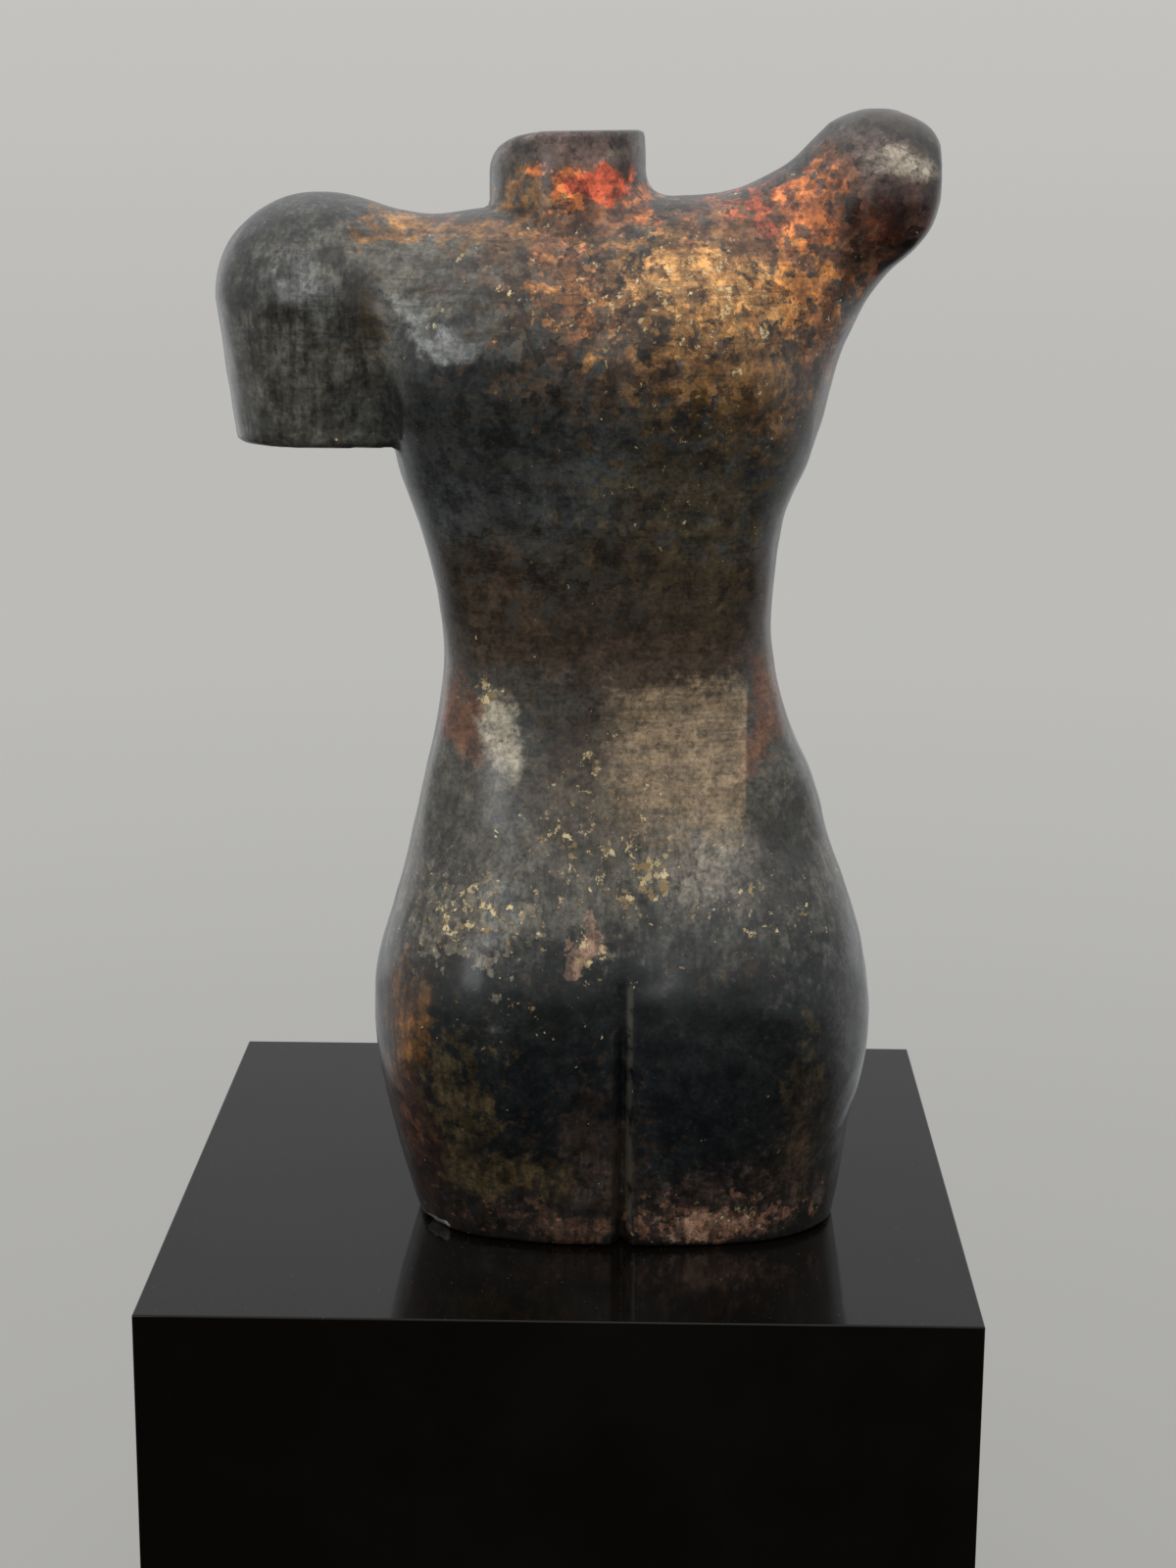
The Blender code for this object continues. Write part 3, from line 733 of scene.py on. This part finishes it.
def resin_material():
    """Dark varnished patina: ragged clouds of colour, brushed and rubbed, with scraps of leaf under a clear coat, and
    painted highlights and reflections.
    """
    made = bpy.data.materials.new("patinated resin")
    made.use_nodes = True
    tree = made.node_tree
    shader = tree.nodes["Principled BSDF"]
    where = add(tree, "ShaderNodeTexCoord").outputs["Object"]
    place = vector_of(tree, "SUBTRACT", where, FIGURE_FOOT)
    place = add(tree, "ShaderNodeVectorMath", {0: place, 3: 1 / PART}, operation="SCALE").outputs[0]
    x, y, z = add(tree, "ShaderNodeSeparateXYZ", {0: place}).outputs
    # The clouds' edges wander: slow bends, then finer ones
    _, bend = cloud(tree, place, 0.12, 2, 0.5)
    _, curl = cloud(tree, place, 0.5, 3, 0.6)
    drift = vector_of(tree, "SUBTRACT", place, [(SLOW_DRIFT + FINE_DRIFT) / 2] * 3)
    drift = vector_of(tree, "MULTIPLY_ADD", bend, [SLOW_DRIFT] * 3, drift)
    drift = vector_of(tree, "MULTIPLY_ADD", curl, [FINE_DRIFT] * 3, drift)
    # Three rags, which break the clouds up into blots and crumbs
    _, rags = cloud(tree, place, 0.72, 5, 0.62)
    ragged_colour = rags
    rags = add(tree, "ShaderNodeSeparateColor", {0: rags}).outputs
    coat = add(tree, "ShaderNodeGroup", {"Place": place}, node_tree=wear_group())
    wave, mottle, grain, specks = (coat.outputs[name] for name in ("Wave", "Mottle", "Grain", "Specks"))
    upright, _ = cloud(tree, vector_of(tree, "MULTIPLY", place, (1.5, 1.5, 0.11)), 1.0, 5, 0.62)
    level, _ = cloud(tree, vector_of(tree, "MULTIPLY", place, (0.14, 0.14, 1.5)), 1.0, 4, 0.62)
    colour = over(tree, (*UMBER, 1), SLATE, rise(tree, wave, 0.4, 0.6))
    patch = patch_group("ragged patch", False)
    leaning_patch = patch_group("leaning ragged patch", True)
    torn = {}
    for number, (paint, side, px, pz, wide, high, lean, soft, tear, strength) in enumerate(CLOUDS):
        sine, cosine = np.sin(np.radians(lean)), np.cos(np.radians(lean))
        key = (number % 3, tear)
        if key not in torn:
            torn[key] = reckon(tree, "MULTIPLY_ADD", rags[key[0]], 4.2 * tear, -2.22 * tear)
        mask = add(
            tree,
            "ShaderNodeGroup",
            {
                "Place": drift,
                "Centre": (px, side * CLOUD_OFFSET, pz),
                "Lean": (0.0, sine, 0.0),
                "Turn": (cosine, 1.0, cosine),
                "Reach": (wide, CLOUD_DEPTH if side else ROUND_DEPTH, high),
                "Rag": torn[key],
                "Outside": 1.0 + soft,
                "Inside": 1.0 - soft,
                "Strength": strength,
            },
            node_tree=leaning_patch if lean else patch,
        )
        colour = over(tree, colour, paint, mask.outputs["Mask"])
    # The painted highlight under the left shoulder: a pale crescent standing for a window's reflection in the varnish
    off = vector_of(tree, "SUBTRACT", drift, (HIGHLIGHT_CRESCENT_PLACE[0], 0.0, HIGHLIGHT_CRESCENT_PLACE[1]))
    off = vector_of(tree, "MULTIPLY", off, (1.0, 0.0, 1.0))
    away = add(tree, "ShaderNodeVectorMath", {0: off}, operation="LENGTH").outputs["Value"]
    away = reckon(tree, "ABSOLUTE", reckon(tree, "SUBTRACT", away, HIGHLIGHT_CRESCENT_RADIUS))
    across, _, rising = add(tree, "ShaderNodeSeparateXYZ", {0: off}).outputs
    pale = times(
        tree,
        rise(tree, away, 1.3, 0.6, 0.0, 0.72),
        rise(tree, across, -1.0, 1.5),
        rise(tree, rising, -1.5, -3.5),
        rise(tree, y, 1.0, 3.0),
    )
    colour = over(tree, colour, HIGHLIGHT_GREY, pale)
    # The tan panel over the loins, with its straight right edge: partly brushed patina, partly a painted reflection
    # of a window
    ragged = reckon(tree, "MULTIPLY_ADD", rags[1], 9.0, -4.5)
    high = reckon(tree, "ADD", z, ragged)
    panel = times(
        tree,
        rise(tree, x, -10.9, -10.6),
        rise(tree, reckon(tree, "ADD", x, ragged), 2.6, -1.6),
        rise(tree, high, 52.5, 49.5),
        rise(tree, high, 36.5, 40.5),
        rise(tree, y, 0.0, 3.0),
        rise(tree, level, 0.34, 0.60, 0.35, 0.85),
    )
    colour = over(tree, colour, TAN, panel)
    # Flakes: each small cell a little lighter or darker than the next, most of all in the warm field
    shaken = vector_of(tree, "MULTIPLY_ADD", ragged_colour, (2.2, 2.2, 2.2), place)
    crumbs = add(tree, "ShaderNodeTexVoronoi", {"Vector": shaken, "Scale": 1.0}, feature="F1")
    chance = add(tree, "ShaderNodeSeparateColor", {0: crumbs.outputs["Color"]}).outputs
    # Upright streaks below the waist and on the arm, level strokes above it, then mottle, grain and dark specks
    below = reckon(tree, "MAXIMUM", rise(tree, z, 46.0, 32.0), rise(tree, x, 20.0, 23.0))
    shade = reckon(tree, "MULTIPLY", rise(tree, upright, 0.40, 0.64, 0.0, 0.85), below)
    colour = over(tree, colour, INK, reckon(tree, "MULTIPLY", shade, 0.7))
    across = times(
        tree, rise(tree, level, 0.52, 0.62), rise(tree, z, 40.0, 52.0, 0.0, 0.45), rise(tree, z, 95.0, 92.0, 0.3, 1.0)
    )
    colour = over(tree, colour, UMBER, across)
    colour = over(tree, colour, UMBER, reckon(tree, "MULTIPLY", specks, 0.62))
    calm = reckon(tree, "MULTIPLY", rise(tree, z, 61.0, 53.0), rise(tree, z, 26.0, 31.0, 0.0, 0.55))
    calm = reckon(tree, "MAXIMUM", calm, rise(tree, z, 92.5, 95.5, 0.0, 0.5))
    shade = reckon(tree, "MULTIPLY", rise(tree, mottle, 0.36, 0.64, -0.46, 0.54), reckon(tree, "SUBTRACT", 1.0, calm))
    colour = over(tree, colour, grey(tree, reckon(tree, "ADD", shade, 1.0)), 1.0, "MULTIPLY")
    warm = reckon(tree, "MULTIPLY", rise(tree, z, 72.0, 80.0), rise(tree, x, 16.0, 6.0))
    shade = rise(tree, grain, 0.33, 0.67, -0.30, 0.34)
    spread = reckon(tree, "MULTIPLY_ADD", warm, 0.70, 0.50)
    flake = reckon(tree, "MULTIPLY", reckon(tree, "SUBTRACT", chance[2], 0.47), spread)
    shade = reckon(tree, "ADD", reckon(tree, "ADD", shade, flake), 1.0)
    colour = over(tree, colour, grey(tree, shade), 1.0, "MULTIPLY")
    scratch = rise(tree, reckon(tree, "ABSOLUTE", reckon(tree, "SUBTRACT", level, 0.56)), 0.006, 0.0)
    scratch = times(tree, scratch, rise(tree, z, 57.0, 61.0), rise(tree, z, 68.0, 64.0, 0.0, 0.45))
    colour = over(tree, colour, SAND, scratch)
    # Paler scraps rubbed through the dark band
    rubbed = times(
        tree, rise(tree, rags[2], 0.53, 0.60), rise(tree, z, 80.0, 74.0), rise(tree, z, 52.0, 60.0, 0.0, 0.55)
    )
    colour = over(tree, colour, over(tree, (*SLATE, 1), OLIVE, rise(tree, x, 2.0, -6.0)), rubbed)
    # The cleft's right lip: a painted highlight, a pale strip where its rounded edge would mirror the side wall
    lip = rise(tree, reckon(tree, "ABSOLUTE", reckon(tree, "ADD", x, 0.80)), 0.42, 0.08, 0.0, 0.55)
    behind = rise(tree, reckon(tree, "MINIMUM", y, z), 0.5, 3.0)
    lip = times(tree, lip, rise(tree, z, 28.0, 23.0), behind, rise(tree, mottle, 0.40, 0.56))
    colour = over(tree, colour, ASH, lip)
    # Gold leaf: torn scraps, thick where the list says, and stray crumbs
    scrap, _ = cloud(tree, place, 1.0, 7, 0.74)
    leaf = 0.0
    for side, px, pz, wide, high, share in LEAF:
        region = add(
            tree,
            "ShaderNodeGroup",
            {
                "Place": drift,
                "Centre": (px, side * CLOUD_OFFSET, pz),
                "Reach": (wide, CLOUD_DEPTH, high),
                "Outside": 1.6,
                "Inside": 0.2,
                "Strength": share,
            },
            node_tree=patch,
        )
        leaf = reckon(tree, "MAXIMUM", region.outputs["Mask"], leaf)
    scraps = rise(tree, reckon(tree, "ADD", scrap, reckon(tree, "MULTIPLY_ADD", leaf, 0.30, -0.71)), 0.0, 0.03)
    size = reckon(tree, "MULTIPLY_ADD", leaf, 0.34, reckon(tree, "MULTIPLY_ADD", chance[0], 0.70, -0.56))
    crumb = rise(tree, reckon(tree, "SUBTRACT", size, crumbs.outputs["Distance"]), 0.0, 0.03)
    gilt = reckon(tree, "MAXIMUM", scraps, crumb)
    leaf_colour = over(tree, (0.36, 0.24, 0.10, 1), (1.0, 0.80, 0.44), rise(tree, chance[1], 0.25, 0.95))
    colour = over(tree, colour, leaf_colour, reckon(tree, "MULTIPLY", gilt, 0.85))
    # Bare plaster-white in the chip of the base
    crumbled = reckon(tree, "MULTIPLY_ADD", rags[0], 2.1, -1.11)
    chip = add(
        tree,
        "ShaderNodeGroup",
        {"Place": place, "Centre": (17.0, 6.2, 0.35), "Reach": (2.0, 2.4, 0.65), "Rag": crumbled,
         "Outside": 1.1, "Inside": 0.9},
        node_tree=patch,
    ).outputs["Mask"]
    colour = over(tree, colour, PLASTER, chip)
    tree.links.new(colour, shader.inputs["Base Color"])
    # Finish
    tree.links.new(reckon(tree, "MULTIPLY", gilt, 0.25), shader.inputs["Metallic"])
    rough = reckon(tree, "MULTIPLY_ADD", mottle, 0.3, 0.28)
    rough = reckon(tree, "MULTIPLY_ADD", specks, 0.12, rough)
    tree.links.new(rough, shader.inputs["Roughness"])
    shader.inputs["Specular IOR Level"].default_value = 0.35
    shader.inputs["Coat Weight"].default_value = 0.9
    shader.inputs["Coat Roughness"].default_value = 0.17
    shader.inputs["Coat IOR"].default_value = 1.5
    # Relief: mottle, grain, brush streaks, specks and the fine cracks across the dark band
    crack = rise(tree, reckon(tree, "ABSOLUTE", reckon(tree, "SUBTRACT", level, 0.5)), 0.012, 0.0)
    crack = times(tree, crack, rise(tree, z, 54.0, 60.0), rise(tree, z, 74.0, 68.0))
    height = reckon(tree, "MULTIPLY", grain, 0.35)
    height = reckon(tree, "MULTIPLY_ADD", upright, 0.30, height)
    height = reckon(tree, "MULTIPLY_ADD", mottle, 0.50, height)
    height = reckon(tree, "MULTIPLY_ADD", specks, -0.22, height)
    height = reckon(tree, "MULTIPLY_ADD", crack, -0.35, height)
    bump = add(tree, "ShaderNodeBump", {"Strength": 0.45, "Distance": 0.0011, "Height": height})
    tree.links.new(bump.outputs["Normal"], shader.inputs["Normal"])
    return made


def lacquer_material():
    """Polished near-black brown lacquer: a mirror with faint waves, dust and fine wiping marks."""
    made = bpy.data.materials.new("polished black lacquer")
    made.use_nodes = True
    tree = made.node_tree
    shader = tree.nodes["Principled BSDF"]
    place = add(tree, "ShaderNodeTexCoord").outputs["Object"]
    tone, _ = cloud(tree, place, 6.0, 5, 0.6)
    colour = over(tree, (0.0030, 0.0024, 0.0019, 1), (0.0062, 0.0050, 0.0040), rise(tree, tone, 0.35, 0.7))
    speck, _ = cloud(tree, place, 420.0, 2, 0.5)
    dust = rise(tree, speck, 0.68, 0.76)
    facing = add(tree, "ShaderNodeNewGeometry").outputs["Normal"]
    up = add(tree, "ShaderNodeSeparateXYZ", {0: facing}).outputs[2]
    dust = reckon(tree, "MULTIPLY", dust, rise(tree, up, 0.5, 0.9, 0.03, 0.45))
    colour = over(tree, colour, (0.12, 0.115, 0.105), dust)
    tree.links.new(colour, shader.inputs["Base Color"])
    smear, _ = cloud(tree, vector_of(tree, "MULTIPLY", place, (9.0, 3.0, 3.0)), 1.0, 5, 0.6)
    rough = rise(tree, smear, 0.35, 0.75, 0.055, 0.13)
    rough = reckon(tree, "MULTIPLY_ADD", dust, 0.4, rough)
    tree.links.new(rough, shader.inputs["Roughness"])
    shader.inputs["IOR"].default_value = 1.4
    peel, _ = cloud(tree, place, 60.0, 3, 0.5)
    bump = add(tree, "ShaderNodeBump", {"Strength": 0.04, "Distance": 0.0006, "Height": peel})
    tree.links.new(bump.outputs["Normal"], shader.inputs["Normal"])
    return made


def board_material():
    """The boards' unseen faces: brown fibre board, sealed thinly with black."""
    made = bpy.data.materials.new("sealed fibre board")
    made.use_nodes = True
    tree = made.node_tree
    shader = tree.nodes["Principled BSDF"]
    place = add(tree, "ShaderNodeTexCoord").outputs["Object"]
    fibre, _ = cloud(tree, place, 160.0, 6, 0.7)
    sealed, _ = cloud(tree, place, 9.0, 4, 0.6)
    colour = over(tree, (0.030, 0.022, 0.016, 1), (0.16, 0.105, 0.06), rise(tree, fibre, 0.42, 0.7))
    colour = over(tree, colour, (0.012, 0.010, 0.009), rise(tree, sealed, 0.35, 0.6, 0.45, 0.9))
    tree.links.new(colour, shader.inputs["Base Color"])
    tree.links.new(rise(tree, fibre, 0.3, 0.7, 0.62, 0.85), shader.inputs["Roughness"])
    bump = add(tree, "ShaderNodeBump", {"Strength": 0.3, "Distance": 0.0004, "Height": fibre})
    tree.links.new(bump.outputs["Normal"], shader.inputs["Normal"])
    return made


# The studio


def make_floor():
    """A pale floor that sweeps up all round into a plain wall: a profile carried round a circle."""
    flat, sweep, tall = 5.0, 1.6, 4.6
    angle = np.linspace(0, np.pi / 2, 14)
    radius = np.concatenate([[0.02, 1.5, 3.2], flat + sweep * np.sin(angle), [flat + sweep]])
    height = np.concatenate([[0, 0, 0], sweep * (1 - np.cos(angle)), [tall]])
    around = 96
    turn = np.linspace(0, 2 * np.pi, around, endpoint=False)
    points = np.stack(
        [np.outer(radius, np.cos(turn)), np.outer(radius, np.sin(turn)), np.outer(height, np.ones_like(turn))], -1
    ).reshape(-1, 3)
    points[:, 2] -= FLOOR_DROP
    quads = ring_quads(len(radius), around)[0]
    floor = make_mesh("studio_floor", points, quads[:, ::-1])
    made = bpy.data.materials.new("pale floor")
    made.use_nodes = True
    shader = made.node_tree.nodes["Principled BSDF"]
    shader.inputs["Base Color"].default_value = (0.21, 0.208, 0.20, 1)
    shader.inputs["Roughness"].default_value = 0.9
    shader.inputs["Specular IOR Level"].default_value = 0.0
    shader.inputs["Emission Color"].default_value = (0.80, 0.79, 0.76, 1)
    place = add(made.node_tree, "ShaderNodeTexCoord").outputs["Object"]
    level = add(made.node_tree, "ShaderNodeSeparateXYZ", {0: place}).outputs[2]
    away = add(made.node_tree, "ShaderNodeVectorMath", {0: place}, operation="LENGTH").outputs["Value"]
    glow = rise(made.node_tree, away, 0.5, 5.0, 0.29, 0.45)
    glow = reckon(made.node_tree, "ADD", glow, rise(made.node_tree, level, 0.0, 1.8, 0.0, 0.15))
    made.node_tree.links.new(glow, shader.inputs["Emission Strength"])
    made.cycles.emission_sampling = "NONE"
    floor.data.materials.append(made)
    # The room's light reaches the figure as if the floor and wall were not in its way
    floor.visible_diffuse = floor.visible_glossy = floor.visible_shadow = False


def make_light(name, at, towards, size, radiance, colour=(1, 1, 1), mirrored=True):
    """A soft rectangular light facing a point; mirrored says whether gloss shows it."""
    lamp = bpy.data.lights.new(name, "AREA")
    lamp.shape = "RECTANGLE"
    lamp.size, lamp.size_y = size
    lamp.energy = radiance * np.pi * size[0] * size[1]
    lamp.color = colour
    made = bpy.data.objects.new(name, lamp)
    made.location = at
    made.rotation_euler = (Vector(towards) - Vector(at)).to_track_quat("-Z", "Y").to_euler()
    made.visible_camera = False
    made.visible_glossy = mirrored
    bpy.context.scene.collection.objects.link(made)


def make_studio():
    """Soft light from above and before, a warm fill, a panel and two rim lights that the varnish mirrors, and a room
    that is pale above and on the figure's far side and dark low down behind the camera."""
    figure = (-0.03, 0.07, 0.92)
    make_light("key_softbox", (0.35, 1.9, 3.1), figure, (2.4, 2.4), 1.8, (1.0, 0.985, 0.96), mirrored=False)
    make_light("front_softbox", (-0.3, -2.6, 2.6), figure, (2.4, 2.0), 0.9, (0.98, 0.99, 1.0), mirrored=False)
    make_light("left_panel", (1.75, 2.9, 1.3), figure, (1.0, 1.0), 1.9, (0.94, 0.97, 1.0))
    make_light("right_panel", (-0.85, 3.1, 1.0), figure, (1.1, 0.55), 1.2, (1.0, 0.88, 0.72), mirrored=False)
    make_light("left_rim", (2.4, -2.2, 1.15), figure, (1.8, 2.2), 0.38)
    make_light("right_rim", (-2.5, -2.2, 1.15), figure, (1.8, 2.2), 0.26)
    world = bpy.data.worlds.new("pale room")
    bpy.context.scene.world = world
    world.use_nodes = True
    tree = world.node_tree
    back = tree.nodes["Background"]
    heading = add(tree, "ShaderNodeTexCoord").outputs["Generated"]
    _, far, up = add(tree, "ShaderNodeSeparateXYZ", {0: heading}).outputs
    lift = reckon(tree, "MULTIPLY_ADD", far, -0.34, reckon(tree, "ADD", up, 0.34))
    light = reckon(tree, "ADD", rise(tree, lift, -0.16, 0.16, 0.03, 0.42), rise(tree, up, 0.25, 0.9, 0.0, 0.4))
    back.inputs["Color"].default_value = (0.97, 0.98, 1.0, 1)
    tree.links.new(light, back.inputs["Strength"])
    bpy.context.scene.view_settings.view_transform = "Standard"


def make_camera():
    """The photograph's view: 1.76 m behind the plinth's middle, 0.68 m above its top, looking 13.4 degrees down."""
    lens = bpy.data.cameras.new("viewpoint")
    lens.lens = CAMERA_LENS
    lens.sensor_width = 36.0
    camera = bpy.data.objects.new("viewpoint", lens)
    turn = Matrix.Rotation(np.radians(CAMERA_HEADING), 4, "Z")
    tilt = Matrix.Rotation(np.radians(90 - CAMERA_DOWN), 4, "X")
    roll = Matrix.Rotation(np.radians(CAMERA_ROLL), 4, "Z")
    camera.matrix_world = Matrix.Translation(CAMERA_PLACE) @ turn @ tilt @ roll
    bpy.context.scene.collection.objects.link(camera)
    bpy.context.scene.camera = camera


torso = make_torso()
torso.data.materials.append(resin_material())
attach(torso, "root")
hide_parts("torso")

plinth = make_plinth()
plinth.data.materials.append(lacquer_material())
plinth.data.materials.append(board_material())
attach(plinth, "root")
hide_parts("plinth")

make_floor()
make_studio()
make_camera()
